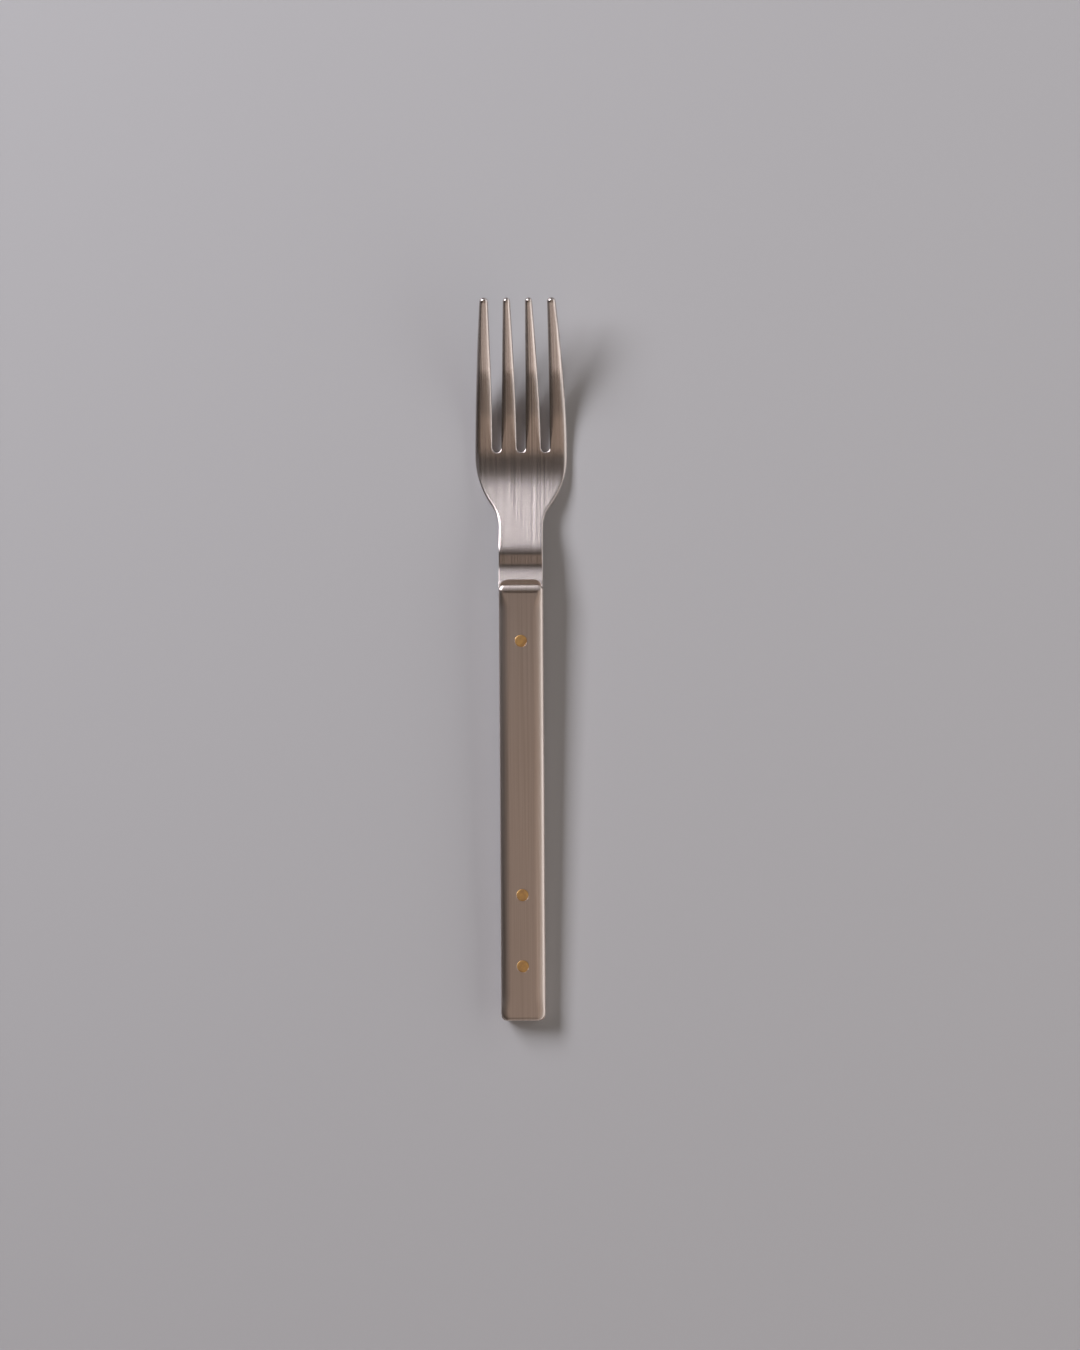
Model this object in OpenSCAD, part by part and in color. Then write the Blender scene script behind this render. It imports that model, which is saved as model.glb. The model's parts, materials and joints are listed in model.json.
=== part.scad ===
// Table fork: a steel head on a full tang, two cover scales and three peened rivets.
// It lies as on a table: tines up and towards +Y, +Z up, origin below the middle of its box.

/* [Overall] */
// Length from the handle's end to the tine tips, along the handle
overall_length = 205; // [190:1:220]

/* [Steel blank] */
// Thickness of the tang, neck and palm
blank_t = 2.4; // [2:0.1:2.8]
// Thickness of a tine at its tip
tine_tip_t = 1.8; // [1.4:0.1:2.2]
// Rounding of the neck's side edges
neck_edge_r = 0.8; // [0.4:0.1:1]
// Rounding of the outer edges of palm and tines
outer_edge_r = 1.1; // [0.6:0.1:1.1]
// Rounding of the edges along the slots
slot_edge_r = 0.55; // [0.3:0.05:0.8]
// Rounding of a tine's end
tine_end_r = 0.8; // [0.5:0.05:0.85]

/* [Tines and slots] */
// Width of an outer tine where it leaves the palm
outer_root_w = 4.8; // [4:0.1:5.6]
// Width of an inner tine where it leaves the palm
inner_root_w = 4.2; // [3.4:0.1:5]
// Width of an outer tine at its tip
outer_tip_w = 2.35; // [1.9:0.05:2.8]
// Width of an inner tine at its tip
inner_tip_w = 2; // [1.8:0.05:2.6]
// Width of a slot at its round bottom
slot_root_w = 2.7; // [2:0.1:3.4]
// Width of a slot at the tips
slot_tip_w = 4.25; // [3.4:0.05:5]
// Distance from the scales' front to the slot bottoms
slot_bottom_y = 37.6; // [34:0.2:42]
// How late the slots widen: 1 is at an even rate
slot_bow = 1.3; // [1:0.05:2]
// How late the outer sides draw in: 1 is at an even rate
side_bow = 1.75; // [1:0.05:2.5]

/* [Palm and shoulders] */
// Distance from the scales' front to the widest place
widest_y = 36.7; // [33:0.1:38]
// Radius of the round shoulders
shoulder_r = 24; // [16:0.5:30]
// Radius of the hollow between shoulder and neck
shoulder_fillet_r = 9.6; // [6:0.2:14]

/* [Side profile] */
// Straight stretch of neck in front of the scales
neck_len = 8.6; // [7:0.1:10]
// Radius of the bend from neck to slope
bend_r = 15; // [8:0.5:20]
// Angle of the slope below the handle's line
neck_slope = 17.5; // [14:0.5:20]
// Straight stretch of the slope
slope_len = 9.8; // [6:0.2:13]
// Radius of the bowl on the neck's side
bowl_back_r = 46.8; // [38:0.2:54]
// Radius of the bowl on the tines' side
bowl_front_r = 60; // [48:1:70]
// Angle of the tine ends above the handle's line
tine_rise = 27; // [22:0.5:32]

/* [Bolster] */
// Height of the bolster above the neck
bolster_rise = 1.2; // [0.6:0.05:1.5]
// Length of the hollow ramp from neck to bolster
ramp_len = 4.1; // [3:0.1:5]
// Groove between the bolster and the scales
groove_w = 1.3; // [0.6:0.1:1.8]

/* [Handle] */
// Width of handle and neck
handle_w = 12.5; // [11:0.1:14]
// Length of the scales
handle_len = 123.6; // [115:0.2:132]
// Thickness of one scale
scale_t = 1.65; // [1.4:0.05:2.2]
// Rounding of the scales' outer edges
scale_edge_r = 1.3; // [0.6:0.1:1.3]
// Rounding of the handle's corners, seen from above
corner_r = 1.5; // [1.4:0.1:3]
// How far the tang's sides lie inside the scales' sides
tang_inset = 0.05; // [0.03:0.01:0.2]

/* [Rivets] */
// Diameter of a rivet's shank
shank_d = 2.4; // [2:0.1:2.8]
// Diameter of a peened head where it meets the scale's face
head_d = 3.4; // [3:0.1:4.2]
// Depth of the countersink that the head fills
head_h = 0.7; // [0.4:0.05:1.1]
// Clearance between a rivet and its hole, on every side
rivet_gap = 0.01; // [0.005:0.005:0.03]
// Distance of the front rivet from the scales' front
front_rivet_y = 15.8; // [10:0.1:30]
// Distance of the middle rivet from the handle's end
middle_rivet_y = 35.7; // [28:0.1:60]
// Distance of the end rivet from the handle's end
end_rivet_y = 15.5; // [8:0.1:22]

/* [Hidden] */

steel_colour = "#a39891";
scale_colour = "#7f726a";
brass_colour = "#a98650";

// Steps round an edge, a slot bottom and a tine end
edge_steps = 3;
root_steps = 10;
end_steps = 4;
// Steps along the ramp, the bend, the palm and a tine
ramp_steps = 6;
bend_steps = 7;
palm_steps = 22;
tine_steps = 18;
// Roundness of the true circles
$fn = 64;
// Angle up to which a tine's end is rounded before its small flat
end_sweep = 84;
// Share of a wall that a rounding may take
rounding_share = 0.46;
// Solid palm between the slot bottoms' edges and the first whole section
root_land = 0.6;
// Overrun of every cut
over = 1;

tine_count = 4;
slot_count = tine_count - 1;
handle_t = blank_t + 2 * scale_t;
inner_count = tine_count - 2;
head_w = 2 * outer_root_w + inner_count * inner_root_w + slot_count * slot_root_w;
tip_span = 2 * outer_tip_w + inner_count * inner_tip_w + slot_count * slot_tip_w;

// Places along the handle's line, from the scales' front towards the tips
tip_y = overall_length - handle_len;
ramp_end_y = groove_w + ramp_len;
bend_end_y = neck_len + bend_r * sin(neck_slope);
slope_end_y = bend_end_y + slope_len * cos(neck_slope);
bowl_y = slope_end_y + bowl_back_r * sin(neck_slope);
lift_end_y = bowl_y + bowl_front_r * sin(tine_rise);
root_y = slot_bottom_y + slot_root_w / 2;
palm_end_y = root_y - slot_root_w / 2 - slot_edge_r - root_land;
shoulder_turn = acos(1 - (head_w - handle_w) / 2 / (shoulder_r + shoulder_fillet_r));
shoulder_y = widest_y - shoulder_r * sin(shoulder_turn);
neck_end_y = shoulder_y - shoulder_fillet_r * sin(shoulder_turn);

// Heights of the blank's middle surface at those places, from the handle's middle
bend_end_z = -bend_r * (1 - cos(neck_slope));
slope_end_z = bend_end_z - slope_len * sin(neck_slope);
bowl_z = slope_end_z - bowl_back_r * (1 - cos(neck_slope));
lift_end_z = bowl_z + bowl_front_r * (1 - cos(tine_rise));

// The fork lies on its bowl and on the lower edge of the handle's end
bowl_c = [bowl_y, bowl_z + bowl_back_r];
end_c = [scale_edge_r - handle_len, scale_edge_r - handle_t / 2];
rest_span = bowl_c - end_c;
rest_tilt = asin((bowl_back_r + blank_t / 2 - scale_edge_r) / norm(rest_span))
    - atan2(rest_span[1], rest_span[0]);
rest_lift = scale_edge_r - end_c[0] * sin(rest_tilt) - end_c[1] * cos(rest_tilt);
tip_lean = mid_tilt(tip_y) + rest_tilt;
tip_reach = tip_y * cos(rest_tilt) - mid_z(tip_y) * sin(rest_tilt)
    + tine_end_r * (1 - cos(tip_lean)) + (tine_tip_t / 2 - tine_end_r) * sin(tip_lean);
end_reach = handle_len * cos(rest_tilt) + blank_t / 2 * sin(rest_tilt);
rest_shift = (end_reach - tip_reach) / 2;

ramp_r = (pow(ramp_len, 2) + pow(bolster_rise, 2)) / 2 / bolster_rise;

// Height and tilt of the middle surface
function mid_z(y) =
    y <= neck_len ? 0
    : y <= bend_end_y ? sqrt(pow(bend_r, 2) - pow(y - neck_len, 2)) - bend_r
    : y <= slope_end_y ? bend_end_z - (y - bend_end_y) * tan(neck_slope)
    : y <= bowl_y ? bowl_z + bowl_back_r - sqrt(pow(bowl_back_r, 2) - pow(bowl_y - y, 2))
    : y <= lift_end_y ? bowl_z + bowl_front_r - sqrt(pow(bowl_front_r, 2) - pow(y - bowl_y, 2))
    : lift_end_z + (y - lift_end_y) * tan(tine_rise);
function mid_tilt(y) =
    y <= neck_len ? 0
    : y <= bend_end_y ? -asin((y - neck_len) / bend_r)
    : y <= slope_end_y ? -neck_slope
    : y <= bowl_y ? -asin((bowl_y - y) / bowl_back_r)
    : y <= lift_end_y ? asin((y - bowl_y) / bowl_front_r)
    : tine_rise;

// A point at x across, y along and h above the middle surface
function place(x, y, h) = [x, y - h * sin(mid_tilt(y)), mid_z(y) + h * cos(mid_tilt(y))];

// Half the thickness: a hollow ramp at the bolster, a taper along the tines
function half_t(y) =
    y < ramp_end_y ? blank_t / 2 + ramp_r - sqrt(pow(ramp_r, 2) - pow(ramp_end_y - y, 2))
    : y < root_y ? blank_t / 2
    : (blank_t + (tine_tip_t - blank_t) * (y - root_y) / (tip_y - root_y)) / 2;

// Half the width from the neck to the tips, seen from above
function half_w(y) =
    y <= neck_end_y ? handle_w / 2
    : y <= shoulder_y ? handle_w / 2 + shoulder_fillet_r
        - sqrt(pow(shoulder_fillet_r, 2) - pow(y - neck_end_y, 2))
    : y <= widest_y ? head_w / 2 - shoulder_r + sqrt(pow(shoulder_r, 2) - pow(widest_y - y, 2))
    : head_w / 2 - (head_w - tip_span) / 2 * pow((y - widest_y) / (tip_y - widest_y), side_bow);

// Middle and half width of the slots
function slot_run(y) = pow((y - root_y) / (tip_y - root_y), slot_bow);
function slot_half(y) = (slot_root_w + (slot_tip_w - slot_root_w) * slot_run(y)) / 2;
function slot_x(s, y) = (s - (slot_count - 1) / 2)
    * (inner_root_w + slot_root_w + (inner_tip_w + slot_tip_w - inner_root_w - slot_root_w) * slot_run(y));

// Sides of tine i
function tine_left(i, y) = i == 0 ? -half_w(y) : slot_x(i - 1, y) + slot_half(y);
function tine_right(i, y) = i == tine_count - 1 ? half_w(y) : slot_x(i, y) - slot_half(y);

// A rounding of radius r, no larger than the wall allows
function rounded(r, wall) = min(r, wall * rounding_share);

// Rounding of the outer sides: wider on the palm and the tines than on the neck
function side_r(y) =
    let (share = min(1, max(0, (y - neck_len) / (slope_end_y - neck_len))))
    rounded(neck_edge_r + (outer_edge_r - neck_edge_r) * share, 2 * half_t(y));

// A side seen in section, from top to bottom: how far each point lies in from the wall, and its height
function rim(h, r) = concat(
    [for (k = [0:edge_steps]) let (a = 90 * k / edge_steps) [r * (1 - sin(a)), h - r * (1 - cos(a))]],
    [for (k = [edge_steps:-1:0]) let (a = 90 * k / edge_steps) [r * (1 - sin(a)), r * (1 - cos(a)) - h]]
);
function flip(list) = [for (k = [len(list) - 1:-1:0]) list[k]];

// A closed section: right side down, bottom, left side up, top
function section(left, right, y, h, r_left, r_right, columns = []) = concat(
    [for (p = rim(h, r_right)) place(right - p[0], y, p[1])],
    [for (x = flip(columns)) place(x, y, -h)],
    [for (p = flip(rim(h, r_left))) place(left + p[0], y, p[1])],
    [for (x = columns) place(x, y, h)]
);

// Lines along the palm that the slots' edges start from, as shares of the flat's half width
root_column_shares = [for (i = [0:tine_count - 1]) for (side = [0, 1])
    (side == 0 ? tine_left(i, root_y) + (i == 0 ? side_r(root_y) : slot_edge_r)
               : tine_right(i, root_y) - (i == tine_count - 1 ? side_r(root_y) : slot_edge_r))
    / (half_w(root_y) - side_r(root_y))];
inner_column_shares = [for (k = [1:len(root_column_shares) - 2]) root_column_shares[k]];

function palm_section(y) = let (w = half_w(y), r = side_r(y))
    section(-w, w, y, half_t(y), r, r, [for (share = inner_column_shares) share * (w - r)]);

function tine_section(i, y, inset) =
    let (
        h = half_t(y) - inset,
        left = tine_left(i, y) + inset,
        right = tine_right(i, y) - inset,
        wall = 2 * min(h, (right - left) / 2)
    )
    section(left, right, y, h,
        rounded(i == 0 ? side_r(y) : slot_edge_r, wall),
        rounded(i == tine_count - 1 ? side_r(y) : slot_edge_r, wall));

// Sections from the bolster to the palm, and from the palm to a tine's end
palm_sections = concat(
    [for (k = [0:ramp_steps]) palm_section(groove_w + ramp_len * k / ramp_steps)],
    [for (k = [0:bend_steps]) palm_section(neck_len + (bend_end_y - neck_len) * k / bend_steps)],
    [for (k = [1:palm_steps]) palm_section(bend_end_y + (palm_end_y - bend_end_y) * k / palm_steps)]
);
tine_end_y = tip_y - tine_end_r * cos(mid_tilt(tip_y));
function tine_sections(i) = concat(
    [for (k = [0:tine_steps]) tine_section(i, root_y + (tine_end_y - root_y) * k / tine_steps, 0)],
    [for (k = [1:end_steps]) let (a = end_sweep * k / end_steps)
        tine_section(i, tine_end_y + (tip_y - tine_end_y) * sin(a), tine_end_r * (1 - cos(a)))]
);

// The round bottom of slot s: the side section turned about the slot's middle
function root_sections(s) = [for (k = [0:root_steps]) let (a = 180 * k / root_steps)
    [for (p = rim(blank_t / 2, slot_edge_r)) let (r = slot_root_w / 2 + p[0])
        place(slot_x(s, root_y) + r * cos(a), root_y - r * sin(a), p[1])]];

// A patch is a list of points and a list of faces
function grid(rows, closed = false) = let (n = len(rows[0]), last = closed ? n - 1 : n - 2) [
    [for (row = rows) each row],
    [for (r = [0:len(rows) - 2]) for (c = [0:last])
        let (a = r * n + c, b = r * n + (c + 1) % n)
        each [[a, a + n, b + n], [a, b + n, b]]]
];
function cap(row) = [row, [[for (k = [0:len(row) - 1]) k]]];
function fan(apex, row) = [concat([apex], row), [for (k = [1:len(row) - 1]) [0, k, k + 1]]];

// Patches joined into one skin
function points_of(patches) = [for (patch = patches) each patch[0]];
function starts_of(patches) = [for (k = 0, at = 0; k < len(patches);
    at = at + len(patches[k][0]), k = k + 1) at];
function faces_of(patches) = let (starts = starts_of(patches))
    [for (k = [0:len(patches) - 1]) for (face = patches[k][1]) [for (v = face) v + starts[k]]];

// Places in a section's list: the last point of a side, and the first of the other side
side_last = 2 * edge_steps + 1;
function pick(list, first, last) = [for (k = [first:last]) list[k]];
function tine_top(ring) = [ring[2 * side_last + 1], ring[0]];
function tine_bottom(ring) = [ring[side_last], ring[side_last + 1]];
function palm_top(ring) = concat(
    pick(ring, len(ring) - len(inner_column_shares) - 1, len(ring) - 1), [ring[0]]);
function palm_bottom(ring) = pick(ring, side_last, side_last + len(inner_column_shares) + 1);

// Palm to tines: flats over each tine, the outer sides, and a web round each slot bottom
function web(left, right, row) = let (half = root_steps / 2) [
    fan(left, pick(row, 0, half)),
    fan(right, pick(row, half, root_steps)),
    [[left, row[half], right], [[0, 1, 2]]]
];
last_ring = palm_sections[len(palm_sections) - 1];
last_top = palm_top(last_ring);
last_bottom = palm_bottom(last_ring);
function root_patches() =
    let (
        rings = [for (i = [0:tine_count - 1]) tine_sections(i)[0]],
        first = rings[0],
        last = rings[tine_count - 1],
        left_start = len(last_ring) - len(inner_column_shares) - 1 - side_last
    )
    concat(
        [for (i = [0:tine_count - 1]) grid([pick(last_top, 2 * i, 2 * i + 1), tine_top(rings[i])])],
        [for (i = [0:tine_count - 1]) let (at = 2 * (tine_count - 1 - i))
            grid([pick(last_bottom, at, at + 1), tine_bottom(rings[i])])],
        [grid([pick(last_ring, 0, side_last), pick(last, 0, side_last)])],
        [grid([pick(last_ring, left_start, left_start + side_last),
            pick(first, side_last + 1, 2 * side_last + 1)])],
        [for (s = [0:slot_count - 1]) grid(root_sections(s))],
        [for (s = [0:slot_count - 1]) let (rows = root_sections(s))
            each web(last_top[2 * s + 1], last_top[2 * s + 2], flip([for (row = rows) row[0]]))],
        [for (s = [0:slot_count - 1]) let (rows = root_sections(s), at = 2 * (slot_count - s))
            each web(last_bottom[at - 1], last_bottom[at], [for (row = rows) row[side_last]])]
    );

// The face on the tang: strips between top and bottom, and a round piece at each side
function back_face(ring) = let (
        top = palm_top(ring),
        bottom = flip(palm_bottom(ring)),
        left_start = len(ring) - len(inner_column_shares) - 1 - side_last
    ) concat(
        [grid([bottom, top])],
        [cap(pick(ring, 0, side_last))],
        [cap(pick(ring, left_start, left_start + side_last))]
    );

skin = concat(
    back_face(palm_sections[0]),
    [grid(palm_sections, true)],
    root_patches(),
    [for (i = [0:tine_count - 1]) grid(tine_sections(i), true)],
    [for (i = [0:tine_count - 1]) let (rows = tine_sections(i)) cap(flip(rows[len(rows) - 1]))]
);

// Moves a piece from the handle's line to where it lies on the table
module at_rest() {
    translate([0, rest_shift, rest_lift])
        rotate([rest_tilt, 0, 0])
            children();
}

// Rivet places along the handle, from the scales' front
rivet_places = [-front_rivet_y, middle_rivet_y - handle_len, end_rivet_y - handle_len];

// Everything that a rivet fills, grown by a clearance
module rivet_form(gap) {
    flank = head_h + gap;
    rotate_extrude()
        polygon([
            [0, -handle_t / 2],
            [head_d / 2 + gap, -handle_t / 2],
            [shank_d / 2 + gap, flank - handle_t / 2],
            [shank_d / 2 + gap, handle_t / 2 - flank],
            [head_d / 2 + gap, handle_t / 2],
            [0, handle_t / 2]
        ]);
}

module rivet(place_y) {
    color(brass_colour)
        at_rest()
            translate([0, place_y, 0])
                rivet_form(0);
}

module head() {
    color(steel_colour)
        at_rest()
            polyhedron(points_of(skin), faces_of(skin));
}

// The tang from the handle's end to the bolster, seen from above
module tang_outline() {
    half = handle_w / 2 - tang_inset;
    translate([-half, corner_r - handle_len])
        square([2 * half, handle_len - corner_r + groove_w]);
    translate([corner_r - half, -handle_len])
        square([2 * (half - corner_r), handle_len]);
    for (side = [-1, 1])
        translate([side * (half - corner_r), corner_r - handle_len])
            circle(corner_r);
}

module tang() {
    color(steel_colour)
        at_rest()
            difference() {
                translate([0, 0, -blank_t / 2])
                    linear_extrude(blank_t)
                        tang_outline();
                for (y = rivet_places)
                    translate([0, y, -blank_t / 2 - over])
                        cylinder(d = shank_d + 2 * rivet_gap, h = blank_t + 2 * over);
            }
}

// Half of a scale's section, from its middle to its outer side
module scale_half_section(half) {
    square([half, scale_t - scale_edge_r]);
    square([half - scale_edge_r, scale_t]);
    translate([half - scale_edge_r, scale_t - scale_edge_r])
        intersection() {
            circle(r = scale_edge_r);
            square(scale_edge_r);
        }
}

// A scale lying on the tang, its front at y = 0
module scale_blank() {
    long = handle_len - 2 * corner_r;
    for (side = [0, 1])
        mirror([side, 0, 0])
            translate([0, -corner_r, 0])
                rotate([90, 0, 0])
                    linear_extrude(long)
                        scale_half_section(handle_w / 2);
    for (end = [0, 1])
        translate([0, -handle_len / 2, 0])
            mirror([0, end, 0])
                translate([corner_r - handle_w / 2, handle_len / 2 - corner_r, 0])
                    rotate([90, 0, 90])
                        linear_extrude(handle_w - 2 * corner_r)
                            scale_half_section(corner_r);
    for (x = [corner_r - handle_w / 2, handle_w / 2 - corner_r], y = [-corner_r, corner_r - handle_len])
        translate([x, y, 0])
            rotate_extrude()
                scale_half_section(corner_r);
}

// The scale above the tang, or with side = 1 its mirror image below
module cover_scale(side) {
    color(scale_colour)
        at_rest()
            mirror([0, 0, side])
                difference() {
                    translate([0, 0, blank_t / 2])
                        scale_blank();
                    for (y = rivet_places)
                        translate([0, y, 0])
                            rivet_form(rivet_gap);
                }
}

module top_scale() {
    cover_scale(0);
}

module bottom_scale() {
    cover_scale(1);
}

module front_rivet() {
    rivet(rivet_places[0]);
}

module middle_rivet() {
    rivet(rivet_places[1]);
}

module end_rivet() {
    rivet(rivet_places[2]);
}

head();
tang();
top_scale();
bottom_scale();
front_rivet();
middle_rivet();
end_rivet();
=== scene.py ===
import json
import math
import bmesh
import bpy
from mathutils import Euler, Matrix, Vector


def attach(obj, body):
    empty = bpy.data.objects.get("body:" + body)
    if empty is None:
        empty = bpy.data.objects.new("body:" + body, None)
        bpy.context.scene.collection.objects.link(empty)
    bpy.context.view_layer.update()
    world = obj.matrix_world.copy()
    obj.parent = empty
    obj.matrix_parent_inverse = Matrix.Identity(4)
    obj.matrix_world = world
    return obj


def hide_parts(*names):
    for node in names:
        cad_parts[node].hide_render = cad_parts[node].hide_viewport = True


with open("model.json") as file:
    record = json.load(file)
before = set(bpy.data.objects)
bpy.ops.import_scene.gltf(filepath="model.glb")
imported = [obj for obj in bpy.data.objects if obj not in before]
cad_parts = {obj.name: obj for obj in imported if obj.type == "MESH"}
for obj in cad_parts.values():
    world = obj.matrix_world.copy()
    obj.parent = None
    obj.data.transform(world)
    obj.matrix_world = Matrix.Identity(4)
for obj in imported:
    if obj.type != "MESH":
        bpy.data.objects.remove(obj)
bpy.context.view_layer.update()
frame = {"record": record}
mm = 0.001

# the camera comes first; it looks down on the fork from a little to the fork's right
camera = {
    "away": 4.0,                # m from the table
    "viewHeight": 0.3833,       # m of table that the picture's long side takes in
    "aim": (0.00495, -0.0044),  # m, the place on the table that it looks at
    "toRight": 3.0,             # degrees from straight above
    "roll": 0.28,               # degrees by which the tips lean to the left
    "sensor": 36,               # mm, its width
}
cameraTurn = Euler((0, math.radians(camera["toRight"]), math.radians(-camera["roll"])))
cameraReach = cameraTurn.to_matrix() @ Vector((0, 0, camera["away"]))
cameraPlace = Vector((*camera["aim"], 0)) + cameraReach
bpy.ops.object.camera_add(location=cameraPlace, rotation=cameraTurn)
topCamera = bpy.context.object
topCamera.name = "topCamera"
topCamera.data.sensor_width = camera["sensor"]
topCamera.data.lens = camera["sensor"] * camera["away"] / camera["viewHeight"]
bpy.context.scene.camera = topCamera

# the fork is modelled level, in mm: y = 0 is the scales' front end, z = 0 is the middle of the blank
handle = {
    "half": 6.25,           # half the width of neck and scales
    "blank": 2.4,           # thickness of the steel blank
    "scaleThick": 1.65,
    "frontCorner": 1.5,     # radius of the scales' front corners, seen from above
    "mountY": -62,          # where the frame gives a point of the handle's top face
}
handleTop = handle["blank"] / 2 + handle["scaleThick"]

# how it lies on the table: the frame gives that point's place and the lean of the face
topFace = next(mount for mount in frame["record"]["mounts"] if mount["name"] == "handle_top")
lean = math.atan2(-topFace["axis"][1], topFace["axis"][2])
leanTurn = Matrix.Rotation(lean, 4, "X")
levelPoint = Vector((0, handle["mountY"], handleTop)) * mm
restPlace = Matrix.Translation(Vector(topFace["pos_m"]) - leanTurn @ levelPoint) @ leanTurn
print("frame loaded, the fork leans", round(math.degrees(lean), 3), "degrees")


def startFresh():
    if bpy.context.mode != "OBJECT":
        bpy.ops.object.mode_set(mode="OBJECT")
    bpy.ops.object.select_all(action="DESELECT")


def pickOnly(piece):
    startFresh()
    piece.select_set(True)
    bpy.context.view_layer.objects.active = piece


def layRim(piece, points):
    # each selected vertex goes to the point of its own number
    net = bmesh.from_edit_mesh(piece.data)
    number = net.verts.layers.int["number"]
    for v in net.verts:
        if v.select:
            v.co = Vector(points[v[number]]) * mm
    bmesh.update_edit_mesh(piece.data)


def stackPiece(name, rims):
    # a disc laid on the lowest rim, extruded from rim to rim
    startFresh()
    bpy.ops.mesh.primitive_circle_add(vertices=len(rims[0]), radius=mm, fill_type="NGON")
    piece = bpy.context.object
    piece.name = name
    piece.data.name = name
    numbers = piece.data.attributes.new("number", "INT", "POINT")
    numbers.data.foreach_set("value", list(range(len(rims[0]))))
    bpy.ops.object.mode_set(mode="EDIT")
    bpy.ops.mesh.select_all(action="SELECT")
    layRim(piece, rims[0])
    for rim in rims[1:]:
        bpy.ops.mesh.extrude_region_move()
        layRim(piece, rim)
    bpy.ops.mesh.select_all(action="SELECT")
    bpy.ops.mesh.normals_make_consistent(inside=False)
    bpy.ops.object.mode_set(mode="OBJECT")
    piece.data.attributes.remove(piece.data.attributes["number"])
    return piece


def cutRows(piece, rows):
    # one crosswise cut at each y; a cut within 0.002 mm of a vertex goes through that vertex
    pickOnly(piece)
    bpy.ops.object.mode_set(mode="EDIT")
    for y in rows:
        bpy.ops.mesh.select_all(action="SELECT")
        bpy.ops.mesh.bisect(plane_co=(0, y * mm, 0), plane_no=(0, 1, 0), threshold=0.002 * mm)
    bpy.ops.object.mode_set(mode="OBJECT")


def cutAway(piece, cutter):
    pickOnly(piece)
    step = piece.modifiers.new("cut", "BOOLEAN")
    step.operation = "DIFFERENCE"
    step.solver = "EXACT"
    step.object = cutter
    bpy.ops.object.modifier_apply(modifier=step.name)
    bpy.data.objects.remove(cutter)


def smoothPiece(piece, angle):
    pickOnly(piece)
    bpy.ops.object.shade_smooth_by_angle(angle=math.radians(angle))
    weights = piece.modifiers.new("weights", "WEIGHTED_NORMAL")
    weights.keep_sharp = True
    bpy.ops.object.modifier_apply(modifier=weights.name)


def brushAlong(piece):
    # the polishing lines run along the fork: u goes across them and v along them, in metres
    heightShare = 0.37      # height counts in u too, so that upright sides get lines as well
    lines = piece.data.uv_layers.new(name="brushing")
    for loop in piece.data.loops:
        at = piece.data.vertices[loop.vertex_index].co
        lines.data[loop.index].uv = (at.x + heightShare * at.z, at.y)


def layDown(piece):
    pickOnly(piece)
    piece.matrix_world = restPlace
    bpy.ops.object.transform_apply(location=True, rotation=True, scale=True)


# the head and tang, one piece of steel: modelled flat, and bent when its plan and edges are made
head = {
    # the outline seen from above
    "headHalf": 13.048, "tipHalf": 10.725,      # half the width at the widest place and at the tips
    "widestY": 36.7, "tipY": 81.4,
    "neckFillet": 9.6, "shoulder": 24,          # radii of the hollow side and of the round shoulder
    "neckEndY": 16.4338, "shoulderY": 22.2246,  # where these two begin
    "sideBow": 1.75,                            # how late the sides draw in: 1 is at an even rate
    "tipRound": 1.2,                            # length of a tine's round end
    # the slots between the tines
    "rootY": 38.95,                             # middle of the round roots
    "slotRoot": 2.5, "slotTip": 4.25,           # width at the roots and at the tips
    "pitchRoot": 6.9, "pitchTip": 6.25,         # distance from slot to slot
    "slotBow": 1.3,                             # how late they widen
    # the line of the blank's middle, seen from the side
    "neckLength": 8.37,
    "bend": (9, 6, 19),                         # small radius, degrees that it turns, large radius
    "neckSlope": 17.0, "slopeEndY": 22.46,
    "bowlBack": 48.1245, "bowlFront": 60,       # radii of the bowl towards the neck and the tines
    "rise": 27,                                 # degrees by which the tine ends rise
    "tipThickness": 1.8,
    # the bolster's hollow ramp, and its ears beside the scales' front corners
    "rampTopY": 1.55, "rampEndY": 6.1,
    "ramp": (9, 8, 20),                         # as for the bend
    "earArc": 16.5, "earTop": 2.82,             # radius in which the ears level out, and their height
    "earStartY": -1.7, "earFullY": -1.5, "neckStartY": -1.0, "earEdgeY": -0.8,
    # the tang between the scales
    "tangHalf": 6.2, "tangEndY": -123.59, "tangMiddleY": -60, "tangCorner": 1.5,
    "tangSink": 0.01,                           # gap to each scale, so that no two faces share a plane
    "smooth": 32,                               # edges that turn by fewer degrees are shaded smooth
}
# how far in and how high each edge is rounded
edges = {
    "tang": (0.12, 0.12), "ear": (0.14, 0.14), "neck": (0.48, 0.2), "shoulder": (0.72, 0.24),
    "outer": (1.8, 1.0), "slot": (0.42, 0.5), "tine": (1.6, 0.55), "tip": (0.82, 0.82),
}
# the stretches over which one rounding turns into the next, on the outer sides and along the slots
outerEdges = [
    "tang", ("ear", head["neckStartY"], head["earEdgeY"]), ("neck", 4, 8),
    ("shoulder", head["neckLength"], head["neckLength"] + 8), ("outer", 29, 36), ("tip", 55, 79),
]
slotEdges = ["slot", ("tine", 40, 47), ("tip", 55, 79)]


def arcRun(radius, degrees):
    return radius * math.sin(math.radians(degrees))


def arcRise(radius, degrees):
    return radius * (1 - math.cos(math.radians(degrees)))


def rolledRun(degrees, quick, turn, slow):
    # a face tips over by turn degrees round a quick radius and goes on round a slow one;
    # this is how far it runs until it is tilted by the given degrees
    return arcRun(quick, turn) + arcRun(slow, degrees) - arcRun(slow, turn)


def rolledTilt(run, quick, turn, slow):
    start = arcRun(quick, turn)
    if run < start:
        return math.asin(run / quick)
    return math.asin(math.sin(math.radians(turn)) + (run - start) / slow)


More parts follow.
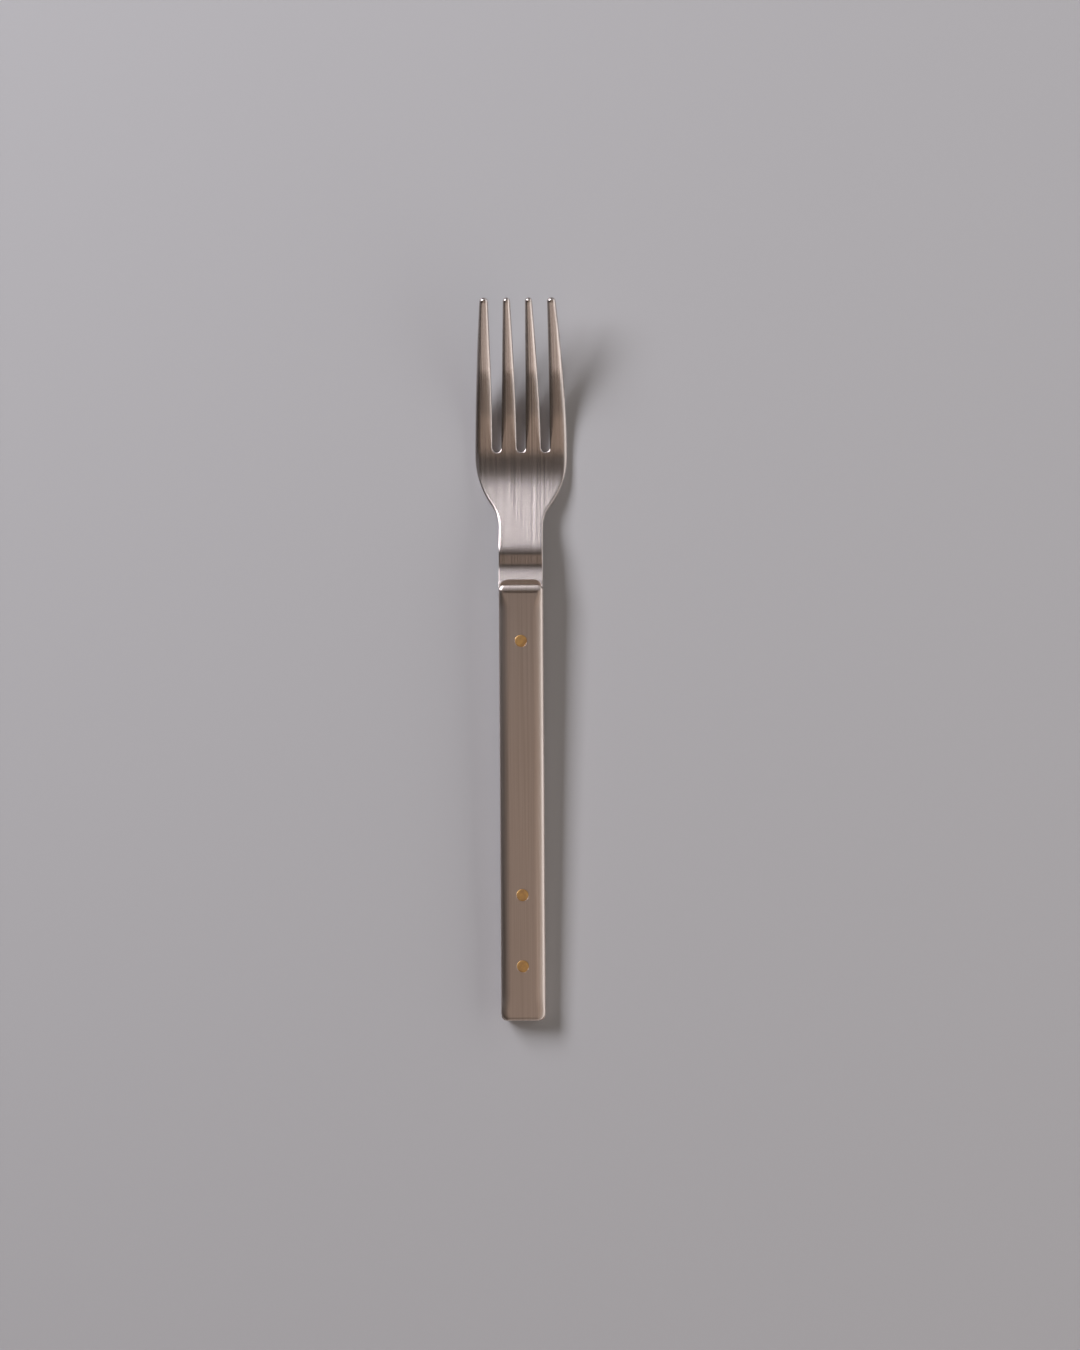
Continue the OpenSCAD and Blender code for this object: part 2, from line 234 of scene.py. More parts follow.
def rolledRise(run, quick, turn, slow):
    tilt = math.degrees(rolledTilt(run, quick, turn, slow))
    quickTilt = min(tilt, turn)
    return arcRise(quick, quickTilt) + arcRise(slow, tilt) - arcRise(slow, quickTilt)


# places where one form of the blank's middle line goes over into the next
slopeRate = math.tan(math.radians(head["neckSlope"]))
bendEndY = head["neckLength"] + rolledRun(head["neckSlope"], *head["bend"])
bendEndZ = -rolledRise(bendEndY - head["neckLength"], *head["bend"])
slopeEndZ = bendEndZ - (head["slopeEndY"] - bendEndY) * slopeRate
bowlY = head["slopeEndY"] + arcRun(head["bowlBack"], head["neckSlope"])
bowlZ = slopeEndZ - arcRise(head["bowlBack"], head["neckSlope"])
liftEndY = bowlY + arcRun(head["bowlFront"], head["rise"])
liftEndZ = bowlZ + arcRise(head["bowlFront"], head["rise"])
# where the round ends of the tines begin
tipStart = head["tipY"] - head["tipRound"]


def middleZ(y):
    # height of the blank's middle
    if y < head["neckLength"]:
        return 0
    if y < bendEndY:
        return -rolledRise(y - head["neckLength"], *head["bend"])
    if y < head["slopeEndY"]:
        return bendEndZ - (y - bendEndY) * slopeRate
    if y < liftEndY:
        radius = head["bowlBack"] if y < bowlY else head["bowlFront"]
        return bowlZ + radius - math.sqrt(radius ** 2 - (y - bowlY) ** 2)
    return liftEndZ + (y - liftEndY) * math.tan(math.radians(head["rise"]))


def middleTilt(y):
    if y < head["neckLength"]:
        return 0
    if y < bendEndY:
        return -rolledTilt(y - head["neckLength"], *head["bend"])
    if y < head["slopeEndY"]:
        return -math.radians(head["neckSlope"])
    if y < liftEndY:
        return math.asin((y - bowlY) / (head["bowlBack"] if y < bowlY else head["bowlFront"]))
    return math.radians(head["rise"])


def halfThickness(y):
    half = handle["blank"] / 2
    tangHalfThick = half - head["tangSink"]
    if y < head["earStartY"]:
        return tangHalfThick
    if y < head["earFullY"]:
        along = (y - head["earStartY"]) / (head["earFullY"] - head["earStartY"])
        return tangHalfThick + (head["earTop"] - tangHalfThick) * along
    if y < head["rampTopY"]:
        # the ears go on from the ramp and level out towards the scale's top
        rampRun = head["rampEndY"] - head["rampTopY"]
        slope = rolledTilt(rampRun, *head["ramp"])
        flat = head["earArc"] * math.sin(slope)
        back = head["rampTopY"] - y
        if back > flat:
            return head["earTop"]
        earRise = math.sqrt(head["earArc"] ** 2 - (flat - back) ** 2) - head["earArc"] * math.cos(slope)
        return min(head["earTop"], half + rolledRise(rampRun, *head["ramp"]) + earRise)
    if y < head["rampEndY"]:
        return half + rolledRise(head["rampEndY"] - y, *head["ramp"])
    if y < head["rootY"]:
        return half
    along = min(1, (y - head["rootY"]) / (head["tipY"] - head["rootY"]))
    return half - (handle["blank"] - head["tipThickness"]) / 2 * along


def outerHalf(y):
    # half the width of tang, neck, palm and tines
    if y < head["earStartY"]:
        return head["tangHalf"]
    if y < head["neckStartY"]:
        along = (y - head["earStartY"]) / (head["neckStartY"] - head["earStartY"])
        return head["tangHalf"] + (handle["half"] - head["tangHalf"]) * along
    if y < head["neckEndY"]:
        return handle["half"]
    if y < head["shoulderY"]:
        fillet = head["neckFillet"]
        return handle["half"] + fillet - math.sqrt(fillet ** 2 - (y - head["neckEndY"]) ** 2)
    if y < head["widestY"]:
        shoulder = head["shoulder"]
        return head["headHalf"] - shoulder + math.sqrt(shoulder ** 2 - (head["widestY"] - y) ** 2)
    along = (y - head["widestY"]) / (head["tipY"] - head["widestY"])
    return head["headHalf"] - (head["headHalf"] - head["tipHalf"]) * along ** head["sideBow"]


def slotRun(y):
    # share of a slot's widening that it has reached at y
    return (max(0, y - head["rootY"]) / (head["tipY"] - head["rootY"])) ** head["slotBow"]


def slotMiddle(slot, y):
    return slot * (head["pitchRoot"] + (head["pitchTip"] - head["pitchRoot"]) * slotRun(y))


def slotSide(slot, side):
    # the left (-1) or right (1) side of slot -1, 0 or 1, as a function of y
    def sideX(y):
        width = head["slotRoot"] + (head["slotTip"] - head["slotRoot"]) * slotRun(y)
        return slotMiddle(slot, y) + side * width / 2

    return sideX


def leftHalf(y):
    return -outerHalf(y)


def between(start, end, along):
    along = min(1, max(0, along))
    return tuple(a + (b - a) * along for a, b in zip(start, end))


def edgeRounding(y, course):
    rounding = edges[course[0]]
    for name, startY, endY in course[1:]:
        rounding = between(rounding, edges[name], (y - startY) / (endY - startY))
    return rounding


def evenly(start, end, step):
    count = max(1, round((end - start) / step))
    return [start + (end - start) * i / count for i in range(count)]


# crosswise rows of vertices: (up to this y, distance from row to row), closest in the quick bends
quickRamp, quickBend = 1.3, 1.0
rowStretches = [
    (head["rampTopY"], 0.34), (head["rampEndY"] - quickRamp, 0.42), (head["rampEndY"], 0.26),
    (head["neckLength"], 1), (head["neckLength"] + quickBend, 0.2), (bendEndY, 0.5),
    (head["neckEndY"], 1.1), (head["shoulderY"], 0.72), (head["rootY"], 0.84),
]
bodyRows = [head["earStartY"], head["earFullY"], head["neckStartY"], head["earEdgeY"]]
rowStart = -0.4         # the four rows so far lie behind it
for rowEnd, rowStep in rowStretches:
    bodyRows += evenly(rowStart, rowEnd, rowStep)
    rowStart = rowEnd
tineRows = evenly(head["rootY"], tipStart, 1.0)


def headOutline():
    # (x, y, inward x, inward y, height of the rounding), anticlockwise from the tang's right rear corner
    points = []
    cornerSteps, rootSteps = 6, 14
    tangRows = [head["tangEndY"] + head["tangCorner"], head["tangMiddleY"]]

    def alongSide(edge, rows, side, course):
        # here a rounding moves inwards across the fork only, so that crosswise cuts meet it
        nearby = 0.01
        for y in rows:
            slope = (edge(y + nearby) - edge(y - nearby)) / (2 * nearby)
            wide, high = edgeRounding(y, course)
            points.append((edge(y), y, -side * math.hypot(1, slope) * wide / high, 0, high))

    def tangCorner(side, start, steps):
        radius = head["tangCorner"]
        for i in steps:
            a = math.radians(start + 90 * i / cornerSteps)
            points.append((side * (head["tangHalf"] - radius) + radius * math.cos(a),
                           head["tangEndY"] + radius + radius * math.sin(a),
                           -math.cos(a), -math.sin(a), edges["tang"][1]))

    def tineEnd(right, left):
        middle = (right(tipStart) + left(tipStart)) / 2
        half = (right(tipStart) - left(tipStart)) / 2
        for i in range(2 * cornerSteps + 1):
            a = math.radians(90 * i / cornerSteps)
            outX, outY = math.cos(a) / half, math.sin(a) / head["tipRound"]
            size = math.hypot(outX, outY)
            points.append((middle + half * math.cos(a), tipStart + head["tipRound"] * math.sin(a),
                           -outX / size, -outY / size, edges["tip"][1]))

    def slotEnd(slot):
        # from the round root's right end to its left end, below the rows
        wide, high = edges["slot"]
        radius = head["slotRoot"] / 2
        for i in range(1, rootSteps):
            a = math.radians(-180 * i / rootSteps)
            points.append((slotMiddle(slot, head["rootY"]) + radius * math.cos(a),
                           head["rootY"] + radius * math.sin(a),
                           math.cos(a) * wide / high, math.sin(a) * wide / high, high))

    tangCorner(1, -90, range(cornerSteps))
    alongSide(outerHalf, tangRows + bodyRows, 1, outerEdges)
    for tine in (3, 2, 1, 0):
        # up its right side, round its end, down its left side, and round the root of the slot there
        rightmost, leftmost = tine == 3, tine == 0
        right = outerHalf if rightmost else slotSide(tine - 1, -1)
        left = leftHalf if leftmost else slotSide(tine - 2, 1)
        alongSide(right, tineRows, 1, outerEdges if rightmost else slotEdges)
        tineEnd(right, left)
        alongSide(left, tineRows[::-1], -1, outerEdges if leftmost else slotEdges)
        if not leftmost:
            slotEnd(tine - 2)
    alongSide(leftHalf, (tangRows + bodyRows)[::-1], -1, outerEdges)
    tangCorner(-1, 180, range(1, cornerSteps + 1))
    return points


def blankRims(outline):
    # rims from the lower face, round both edges, to the upper face
    steps = 5
    rims = []
    for face, order in ((-1, range(steps + 1)), (1, range(steps, -1, -1))):
        for i in order:
            a = math.pi / 2 * i / steps
            inward, down = 1 - math.sin(a), 1 - math.cos(a)
            rims.append([(x + inX * high * inward, y + inY * high * inward,
                          face * (halfThickness(y) - high * down)) for x, y, inX, inY, high in outline])
    return rims


headAndTang = stackPiece("headAndTang", blankRims(headOutline()))
cutRows(headAndTang, bodyRows + tineRows + [tipStart])
print("blank:", len(headAndTang.data.polygons), "faces")

# the groove in front of each scale, with curved ends that run round the scale's corners
groove = {
    "frontY": 1.55, "straightHalf": 3.3,        # its straight front edge
    "outArc": (2.5, 1.7),                       # the elliptical ends of that edge, across and along
    "clearance": 0.12,                          # round the scales' corners
    "flare": 0.22,                              # radius of its upper edge
    "flareLift": 0.03,                          # the flare goes on to this height above the face
    "backY": -4.0, "pastSide": 8, "height": 6,  # how far the cutter reaches
    "topFlare": 0.33,                           # by which it is wider at that height
    "lastEarY": -1.4,                           # behind it the blank drops to the tang
}


def grooveRims(side):
    # rims of the cutter from the groove's floor outwards, each anticlockwise from the rear right
    steps, flareSteps = 8, 5
    cornerX, cornerY = handle["half"] - handle["frontCorner"], -handle["frontCorner"]
    clearArc = handle["frontCorner"] + groove["clearance"]
    acrossArc, alongArc = groove["outArc"]
    cornerTurn = math.acos((groove["straightHalf"] + acrossArc - cornerX) / clearArc)
    plan = [(groove["pastSide"], groove["backY"], 0, 0), (groove["pastSide"], cornerY, 0, 0)]
    for i in range(steps + 1):
        a = cornerTurn * i / steps
        plan.append((cornerX + clearArc * math.cos(a), cornerY + clearArc * math.sin(a),
                     math.cos(a), math.sin(a)))
    for i in range(1, steps + 1):
        a = math.pi / 2 * i / steps
        outX, outY = math.cos(a) / acrossArc, math.sin(a) / alongArc
        size = math.hypot(outX, outY)
        plan.append((groove["straightHalf"] + acrossArc * math.cos(a),
                     groove["frontY"] - alongArc * (1 - math.sin(a)), outX / size, outY / size))
    plan += [(-x, y, -outX, outY) for x, y, outX, outY in plan[::-1]]

    def rim(grow, heightAt):
        return [(x + outX * grow, y + outY * grow, side * heightAt(y)) for x, y, outX, outY in plan]

    def faceHeight(y):
        return halfThickness(max(y, groove["lastEarY"])) + groove["flareLift"]

    rims = [rim(0, lambda y: handle["blank"] / 2)]
    for i in range(flareSteps + 1):
        a = math.pi / 2 * i / flareSteps
        below = groove["flare"] * (1 - math.sin(a))
        rims.append(rim(groove["flare"] * (1 - math.cos(a)), lambda y: faceHeight(y) - below))
    rims.append(rim(groove["topFlare"], lambda y: groove["height"]))
    return rims


for side in (1, -1):
    cutAway(headAndTang, stackPiece("grooveCutter", grooveRims(side)))
print("grooves cut:", len(headAndTang.data.polygons), "faces")

# the flat blank is bent along its middle line
brushAlong(headAndTang)
for v in headAndTang.data.vertices:
    x, y, z = v.co / mm
    tilt = middleTilt(y)
    v.co = Vector((x, y - z * math.sin(tilt), middleZ(y) + z * math.cos(tilt))) * mm
layDown(headAndTang)
smoothPiece(headAndTang, head["smooth"])
print("head bent and laid down")

# the two cover scales
scale = {
    "endY": -123.586,
    "frontCorner": handle["frontCorner"], "rearCorner": 2.4,
    # how far in and how high the top edge is rounded at the sides and ends
    "side": (2.9, 1.15), "front": (2.3, 0.5), "rear": (1.2, 0.5),
    "cornerShare": 0.95,        # share of a corner's radius that the side's rounding takes up there
    "blend": 5,                 # length over which the side's rounding widens from a corner
    "lowEdge": 0.06,            # rounding of the edge on the tang
    "smooth": 30,
}
# the rivets through them
rivet = {
    "places": (-15.8, -87.9, -108.1),   # y of their middles
    "shank": 2.4, "head": 3.4, "headHeight": 0.7,
    "gap": 0.01,                        # to the hole, all round
    "edge": 0.07, "dome": 0.02,
    "smooth": 30,
}


def scaleOutline():
    # (x, y, inward x and y of the plan, inward x and y of the top edge's rounding, its height),
    # anticlockwise from the rear right
    points = []
    cornerSteps = 12
    frontY, rearY = -scale["frontCorner"], scale["endY"] + scale["rearCorner"]

    def cornerSide(end):
        # beside a corner the side's rounding is no wider than the corner's radius
        return scale[end + "Corner"] * scale["cornerShare"], (scale["side"][1] + scale[end][1]) / 2

    def corner(sideX, end, endY, start):
        radius = scale[end + "Corner"]
        wideX, highX = cornerSide(end)
        wideY, highY = scale[end]
        for i in range(cornerSteps + 1):
            a = math.radians(start + 90 * i / cornerSteps)
            nx, ny = math.cos(a), math.sin(a)
            points.append((sideX * (handle["half"] - radius) + radius * nx, endY + radius * ny,
                           -nx, -ny, -nx * wideX, -ny * wideY, highX + (highY - highX) * ny * ny))

    def side(sideX, ys):
        for y in ys:
            end, fromEnd = ("front", frontY - y) if y > scale["endY"] / 2 else ("rear", y - rearY)
            t = min(1, fromEnd / scale["blend"])
            wide, high = between(cornerSide(end), scale["side"], t * t * (3 - 2 * t))
            points.append((sideX * handle["half"], y, -sideX, 0, -sideX * wide, 0, high))

    fromCorner, farRows = (0.6, 1.2, 1.8, 2.4, 3, 3.6, 4.2, 5, 8), [-90, -60, -30]
    ys = [rearY + d for d in fromCorner] + farRows + [frontY - d for d in fromCorner[::-1]]
    side(1, ys)
    corner(1, "front", frontY, 0)
    corner(-1, "front", frontY, 90)
    side(-1, ys[::-1])
    corner(-1, "rear", rearY, 180)
    corner(1, "rear", rearY, 270)
    return points


def scaleRims():
    # from the lower face, round its small edge, up the sides and round the top edge
    lowSteps, topSteps = 2, 14
    plan = scaleOutline()
    rims = []
    for i in range(lowSteps + 1):
        a = math.pi / 2 * i / lowSteps
        inward, up = scale["lowEdge"] * (1 - math.sin(a)), scale["lowEdge"] * (1 - math.cos(a))
        rims.append([(x + inX * inward, y + inY * inward, handle["blank"] / 2 + up)
                     for x, y, inX, inY, topX, topY, high in plan])
    for i in range(topSteps, -1, -1):
        a = math.pi / 2 * i / topSteps
        inward, down = 1 - math.sin(a), 1 - math.cos(a)
        rims.append([(x + topX * inward, y + topY * inward, handleTop - high * down)
                     for x, y, inX, inY, topX, topY, high in plan])
    return rims


def ringRims(profile, centreY):
    # round rims for a list of (radius, height)
    count = 48
    turns = [2 * math.pi * i / count for i in range(count)]
    return [[(r * math.cos(a), centreY + r * math.sin(a), z) for a in turns] for r, z in profile]


def holeProfile():
    # shank and countersink, with a fine chamfer that ends just above the scale's face
    aboveFace, overrun = 0.0001, 1
    wide, narrow = rivet["head"] / 2 + rivet["gap"], rivet["shank"] / 2 + rivet["gap"]
    rimRadius = wide + rivet["edge"]
    sink = handleTop - rivet["headHeight"]
    return [(narrow, 0), (narrow, sink), (wide, sink), (wide, handleTop - rivet["edge"]),
            (rimRadius, handleTop + aboveFace), (rimRadius, handleTop + overrun)]


def rivetProfile():
    # from the lower head's middle to the upper one's, with a faint dome on both
    bevelShare, domeShares = 0.3, (0.8, 0.55, 0.3, 0.1)
    wide, narrow, edge = rivet["head"] / 2, rivet["shank"] / 2, rivet["edge"]
    sink, rim = handleTop - rivet["headHeight"], handleTop - rivet["dome"]
    faceRadius = wide - edge
    upper = [(narrow, sink), (wide, sink), (wide, rim - edge),
             (wide - bevelShare * edge, rim - bevelShare * edge), (faceRadius, rim)]
    upper += [(faceRadius * share, handleTop - rivet["dome"] * share ** 2) for share in domeShares]
    return [(r, -z) for r, z in upper[::-1]] + upper


topScale = stackPiece("topScale", scaleRims())
for y in rivet["places"]:
    cutAway(topScale, stackPiece("rivetHole", ringRims(holeProfile(), y)))
brushAlong(topScale)

# the lower scale is a copy of the upper one, turned over across the blank
pickOnly(topScale)
bpy.ops.object.duplicate()
bottomScale = bpy.context.object
bottomScale.name = bottomScale.data.name = "bottomScale"
for v in bottomScale.data.vertices:
    v.co.z = -v.co.z
bpy.ops.object.mode_set(mode="EDIT")
bpy.ops.mesh.select_all(action="SELECT")
bpy.ops.mesh.flip_normals()
bpy.ops.object.mode_set(mode="OBJECT")
for piece in (topScale, bottomScale):
    layDown(piece)
    smoothPiece(piece, scale["smooth"])
print("scales made:", len(topScale.data.polygons), "faces each")

# one rivet is made, and two copies of it stand in the other holes
frontRivet = stackPiece("frontRivet", ringRims(rivetProfile(), rivet["places"][0]))
brushAlong(frontRivet)
rivets = [frontRivet]
for name, y in zip(("middleRivet", "endRivet"), rivet["places"][1:]):
    pickOnly(frontRivet)
    bpy.ops.object.duplicate()
    copied = bpy.context.object
    copied.name = copied.data.name = name
    copied.location.y = (y - rivet["places"][0]) * mm
    bpy.ops.object.transform_apply(location=True, rotation=False, scale=False)
    rivets.append(copied)
for piece in rivets:
    layDown(piece)
    smoothPiece(piece, rivet["smooth"])
print("rivets made")


# the finishes
def linear(hexColour):
    # an sRGB hex colour as linear values
    parts = [int(hexColour[i:i + 2], 16) / 255 for i in (1, 3, 5)]
    return tuple(c / 12.92 if c <= 0.04045 else ((c + 0.055) / 1.055) ** 2.4 for c in parts) + (1,)


def addNode(tree, kind, settings=None, links=None):
    # settings: plain names are the node's own, names or numbers of inputs are socket values
    node = tree.nodes.new(kind)
    for key, value in (settings or {}).items():
        if isinstance(key, int):
            node.inputs[key].default_value = value
        elif key in node.bl_rna.properties.keys():
            setattr(node, key, value)
        else:
            node.inputs[key].default_value = value
    for key, source in (links or {}).items():
        tree.links.new(source, node.inputs[key])
    return node


def newFinish(name):
    finish = bpy.data.materials.new(name)
    finish.use_nodes = True
    finish.node_tree.nodes.clear()
    return finish, finish.node_tree


# belt lines are about 0.03 mm apart; they are drawn 0.16 mm and 0.6 mm apart to show at all
belt = {
    "fineApart": 0.16, "fineLength": 40,        # mm
    "wideApart": 0.6, "wideLength": 90,
    "wideShare": 0.42,                          # of the wide lines in tone and relief
    "relief": 0.04,                             # mm
    "lowNoise": 0.3, "highNoise": 0.7,          # most of the noise lies between these values
    "roughSwing": 0.07,                         # share by which the roughness swings
}
headFinish = {
    "light": "#dcd3cf", "dark": "#b4aaa5", "roughness": 0.25,
    "spread": 0.99,                             # how far reflections spread across the lines: 1 is most
    "streak": 0.1,                              # strength of the lines' relief
}
scaleFinish = {"light": "#d9cec8", "dark": "#c7bbb4", "roughness": 0.33, "spread": 0.8, "streak": 0.05}


def brushedSteel(name, look):
    # stainless steel brushed along its length with a fine belt: reflections spread across the fork
    finish, tree = newFinish(name)
    out = addNode(tree, "ShaderNodeOutputMaterial")
    lines = addNode(tree, "ShaderNodeUVMap", {"uv_map": "brushing"}).outputs["UV"]
    fineScale = (1 / (belt["fineApart"] * mm), 1 / (belt["fineLength"] * mm), 1)
    wideScale = (1 / (belt["wideApart"] * mm), 1 / (belt["wideLength"] * mm), 1)
    fine = addNode(tree, "ShaderNodeMapping", {"Scale": fineScale}, {"Vector": lines})
    wide = addNode(tree, "ShaderNodeMapping", {"Scale": wideScale}, {"Vector": lines})
    fineNoise = addNode(tree, "ShaderNodeTexNoise",
                        {"noise_dimensions": "2D", "Scale": 1.0, "Detail": 1.0, "Roughness": 0.5},
                        {"Vector": fine.outputs["Vector"]}).outputs["Fac"]
    wideNoise = addNode(tree, "ShaderNodeTexNoise",
                        {"noise_dimensions": "2D", "Scale": 1.0, "Detail": 2.0, "Roughness": 0.5},
                        {"Vector": wide.outputs["Vector"]}).outputs["Fac"]
    both = addNode(tree, "ShaderNodeMix", {"data_type": "FLOAT", "Factor": belt["wideShare"]},
                   {2: fineNoise, 3: wideNoise}).outputs[0]
    noiseRange = {"From Min": belt["lowNoise"], "From Max": belt["highNoise"]}
    tone = addNode(tree, "ShaderNodeMapRange", noiseRange, {"Value": both})
    mixed = addNode(tree, "ShaderNodeMix",
                    {"data_type": "RGBA", 6: linear(look["dark"]), 7: linear(look["light"])},
                    {0: tone.outputs["Result"]}).outputs[2]
    rough = addNode(tree, "ShaderNodeMapRange",
                    {**noiseRange, "To Min": look["roughness"] * (1 - belt["roughSwing"]),
                     "To Max": look["roughness"] * (1 + belt["roughSwing"])},
                    {"Value": fineNoise}).outputs["Result"]
    bump = addNode(tree, "ShaderNodeBump", {"Strength": look["streak"], "Distance": belt["relief"] * mm},
                   {"Height": both})
    along = addNode(tree, "ShaderNodeTangent", {"direction_type": "UV_MAP", "uv_map": "brushing"})
    shader = addNode(tree, "ShaderNodeBsdfPrincipled", {"Metallic": 1.0, "Anisotropic": look["spread"]},
                     {"Base Color": mixed, "Roughness": rough, "Normal": bump.outputs["Normal"],
                      "Tangent": along.outputs["Tangent"]})
    tree.links.new(shader.outputs["BSDF"], out.inputs["Surface"])
    return finish


brassLook = {
    "light": "#e4ba78", "dark": "#cda26f",
    "lowRough": 0.36, "highRough": 0.5,
    "apart": 0.12, "length": 3,                 # of the grinding lines, mm
    "relief": 0.02, "streak": 0.2,              # their depth in mm, and its strength
    "spots": 700,                               # tarnished spots in a metre
    "lowNoise": 0.35, "highNoise": 0.65,
}


def groundBrass(name, look):
    # brass ground flush with the scale: dull yellow, darker and browner where it has tarnished
    finish, tree = newFinish(name)
    out = addNode(tree, "ShaderNodeOutputMaterial")
    at = addNode(tree, "ShaderNodeTexCoord").outputs["Object"]
    lines = addNode(tree, "ShaderNodeUVMap", {"uv_map": "brushing"}).outputs["UV"]
    fineScale = (1 / (look["apart"] * mm), 1 / (look["length"] * mm), 1)
    fine = addNode(tree, "ShaderNodeMapping", {"Scale": fineScale}, {"Vector": lines})
    fineNoise = addNode(tree, "ShaderNodeTexNoise", {"noise_dimensions": "2D", "Scale": 1.0, "Detail": 2.0},
                        {"Vector": fine.outputs["Vector"]}).outputs["Fac"]
    tarnish = addNode(tree, "ShaderNodeTexNoise", {"Scale": look["spots"], "Detail": 3.0},
                      {"Vector": at}).outputs["Fac"]
    tone = addNode(tree, "ShaderNodeMapRange",
                   {"From Min": look["lowNoise"], "From Max": look["highNoise"]}, {"Value": tarnish})
    mixed = addNode(tree, "ShaderNodeMix",
                    {"data_type": "RGBA", 6: linear(look["dark"]), 7: linear(look["light"])},
                    {0: tone.outputs["Result"]}).outputs[2]
    rough = addNode(tree, "ShaderNodeMapRange", {"To Min": look["lowRough"], "To Max": look["highRough"]},
                    {"Value": fineNoise}).outputs["Result"]
    bump = addNode(tree, "ShaderNodeBump", {"Strength": look["streak"], "Distance": look["relief"] * mm},
                   {"Height": fineNoise})
    shader = addNode(tree, "ShaderNodeBsdfPrincipled", {"Metallic": 1.0},
                     {"Base Color": mixed, "Roughness": rough, "Normal": bump.outputs["Normal"]})
    tree.links.new(shader.outputs["BSDF"], out.inputs["Surface"])
    return finish


cardLook = {"colour": "#b4b4b6", "roughness": 0.9, "gloss": 0.2}


def matteCard(name, look):
    # uncoated grey card under the fork: an even floor without highlights
    finish, tree = newFinish(name)
    out = addNode(tree, "ShaderNodeOutputMaterial")
    shader = addNode(tree, "ShaderNodeBsdfPrincipled",
                     {"Base Color": linear(look["colour"]), "Roughness": look["roughness"],
                      "Specular IOR Level": look["gloss"]})
    tree.links.new(shader.outputs["BSDF"], out.inputs["Surface"])
    return finish


headSteel = brushedSteel("brushedStainlessHead", headFinish)
scaleSteel = brushedSteel("brushedStainlessScale", scaleFinish)
rivetBrass = groundBrass("groundBrass", brassLook)
dressed = [(headAndTang, headSteel, "head_steel", ("head", "tang")),
           (topScale, scaleSteel, "scale_steel", ("top_scale",)),
           (bottomScale, scaleSteel, "scale_steel", ("bottom_scale",)),
           (rivets[0], rivetBrass, "rivet_brass", ("front_rivet",)),
           (rivets[1], rivetBrass, "rivet_brass", ("middle_rivet",)),
           (rivets[2], rivetBrass, "rivet_brass", ("end_rivet",))]
for piece, finish, slotName, nodes in dressed:
    piece.data.materials.clear()
    piece.data.materials.append(finish)
    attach(piece, "root")
    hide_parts(*nodes)
print("pieces dressed")

# the table, the lamps and the room
tableSide = 12          # m
startFresh()
bpy.ops.mesh.primitive_plane_add(size=tableSide, location=(0, 0, 0))
table = bpy.context.object
table.name = "table"
table.data.materials.append(matteCard("matteCard", cardLook))

# places and sizes in m; radiance is what a lamp shows a mirror
# ramp is (start, end, share of the light before its start) along the lamp, like a thin curtain there
warm = (1.0, 0.755, 0.60)
lamps = {
    "window": {"at": (-1.16, 1.0, 1.05), "aim": (0, 1.0, 0), "size": (0.60, 2.0), "radiance": 16.3,
               "colour": (0.98, 0.965, 1.02), "ramp": (0.135, 0.27, 0.012)},
    "fill": {"at": (1.0, 0, 0.44), "aim": (0, 0, 0.44), "size": (0.80, 2.4), "radiance": 1.6,
             "colour": (1.0, 0.98, 0.965)},
    "backWall": {"at": (0.9, -2.0, 0.925), "aim": (0.9, 0, 0.925), "size": (3.0, 1.75), "radiance": 0.63,
                 "colour": (1.0, 0.84, 0.75), "ramp": (0.541, 0.666, 0.42)},
    "overheadNear": {"at": (0.36, -0.59, 1.0), "aim": (0.36, -0.59, 0), "size": (1.08, 1.02),
                     "radiance": 0.435, "colour": warm, "ramp": (0.672, 0.755, 0.58)},
    "overheadFar": {"at": (0.36, 0.11, 1.0), "aim": (0.36, 0.11, 0), "size": (1.08, 0.38),
                    "radiance": 0.435, "colour": warm, "ramp": (0.34, 0.05, 0.14)},
}


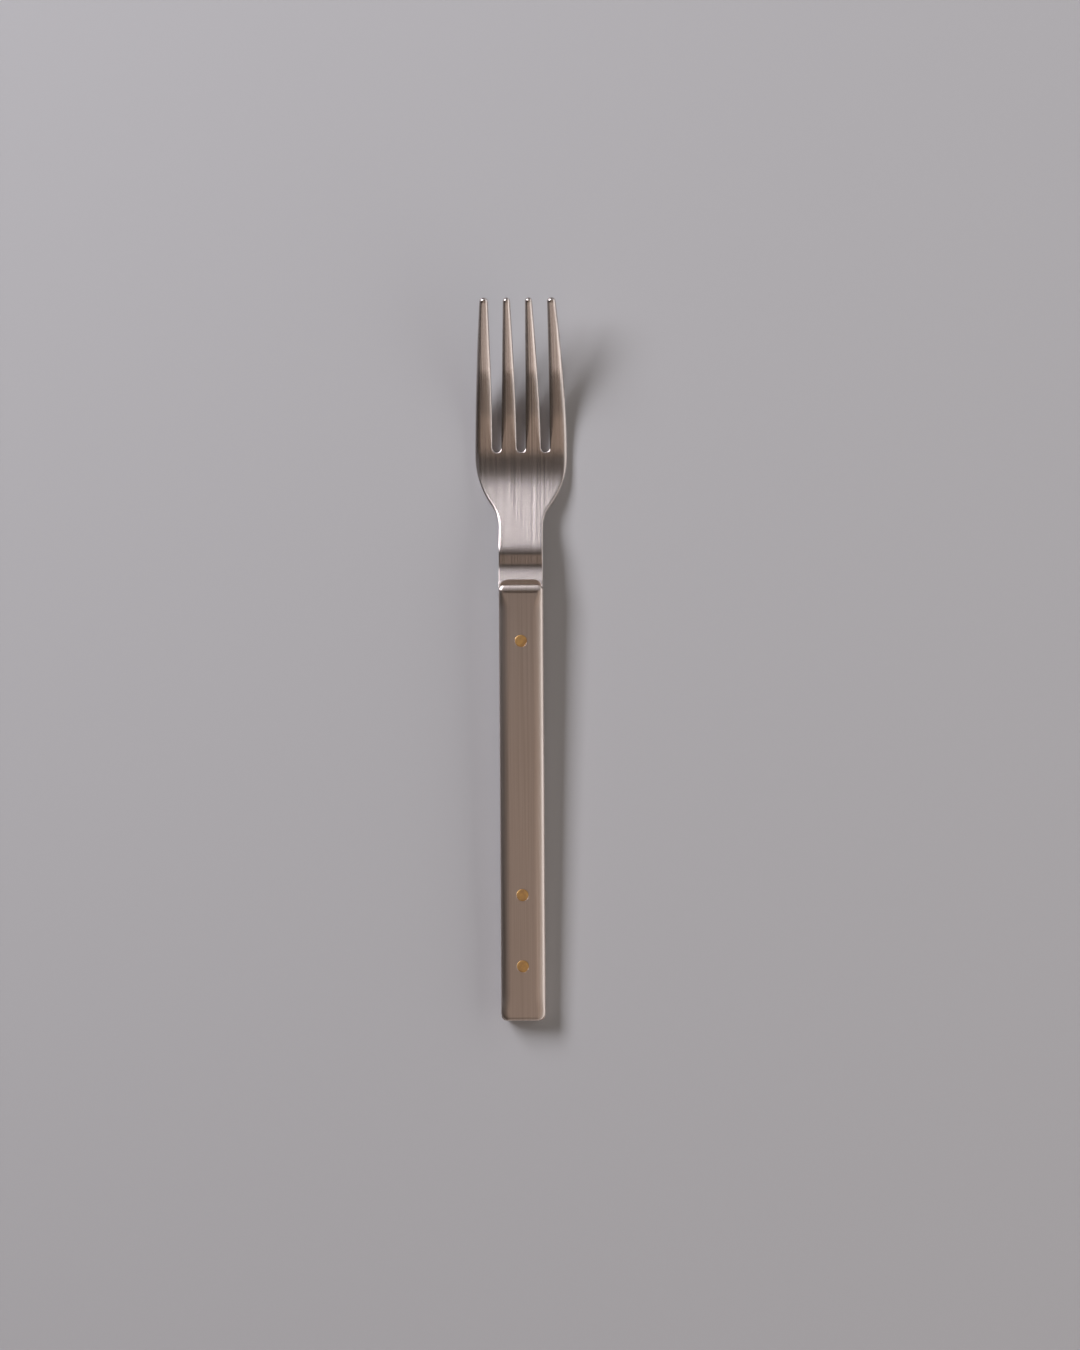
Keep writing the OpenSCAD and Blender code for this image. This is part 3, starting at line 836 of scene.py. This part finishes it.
def softLight(name, at, aim, size, radiance, colour, ramp=None):
    # a soft box; its second side runs along the fork, or upwards where the box faces along the fork
    bpy.ops.object.light_add(type="AREA", location=at)
    lamp = bpy.context.object
    lamp.name = name
    away = (Vector(at) - Vector(aim)).normalized()
    facesAlong = abs(away.y) > 0.9
    across = Vector((0, 0, 1) if facesAlong else (0, 1, 0)).cross(away).normalized()
    lamp.rotation_euler = Matrix((across, away.cross(across), away)).transposed().to_euler()
    lamp.data.shape = "RECTANGLE"
    lamp.data.size, lamp.data.size_y = size
    lamp.data.energy = radiance * size[0] * size[1] * math.pi
    lamp.data.color = colour
    lamp.visible_camera = False
    if ramp:
        rampStart, rampEnd, dimmed = ramp
        lamp.data.use_nodes = True
        tree = lamp.data.node_tree
        tree.nodes.clear()
        place = addNode(tree, "ShaderNodeNewGeometry").outputs["Parametric"]
        along = addNode(tree, "ShaderNodeSeparateXYZ", links={"Vector": place}).outputs["Y"]
        glow = addNode(tree, "ShaderNodeMapRange",
                       {"interpolation_type": "SMOOTHSTEP", "From Min": rampStart, "From Max": rampEnd,
                        "To Min": dimmed}, {"Value": along})
        shine = addNode(tree, "ShaderNodeEmission", links={"Strength": glow.outputs["Result"]})
        addNode(tree, "ShaderNodeOutputLight", links={"Surface": shine.outputs["Emission"]})


for name, lamp in lamps.items():
    softLight(name, **lamp)

# the room is dim, and a little lighter near the horizon; heights are those of the view's direction
room = {"horizon": (0.15, 0.15, 0.15, 1), "above": (0.036, 0.031, 0.027, 1), "fade": (0.06, 0.22)}
world = bpy.context.scene.world or bpy.data.worlds.new("room")
bpy.context.scene.world = world
world.use_nodes = True
sky = world.node_tree
sky.nodes.clear()
way = addNode(sky, "ShaderNodeTexCoord").outputs["Generated"]
height = addNode(sky, "ShaderNodeSeparateXYZ", links={"Vector": way}).outputs["Z"]
fade = addNode(sky, "ShaderNodeMapRange", {"From Min": room["fade"][0], "From Max": room["fade"][1]},
               {"Value": height})
tint = addNode(sky, "ShaderNodeMix", {"data_type": "RGBA", 6: room["horizon"], 7: room["above"]},
               {0: fade.outputs["Result"]}).outputs[2]
air = addNode(sky, "ShaderNodeBackground", {"Strength": 1.0}, {"Color": tint})
addNode(sky, "ShaderNodeOutputWorld", links={"Surface": air.outputs["Background"]})

bpy.context.scene.view_settings.view_transform = "Standard"
print("table, lamps and room ready")
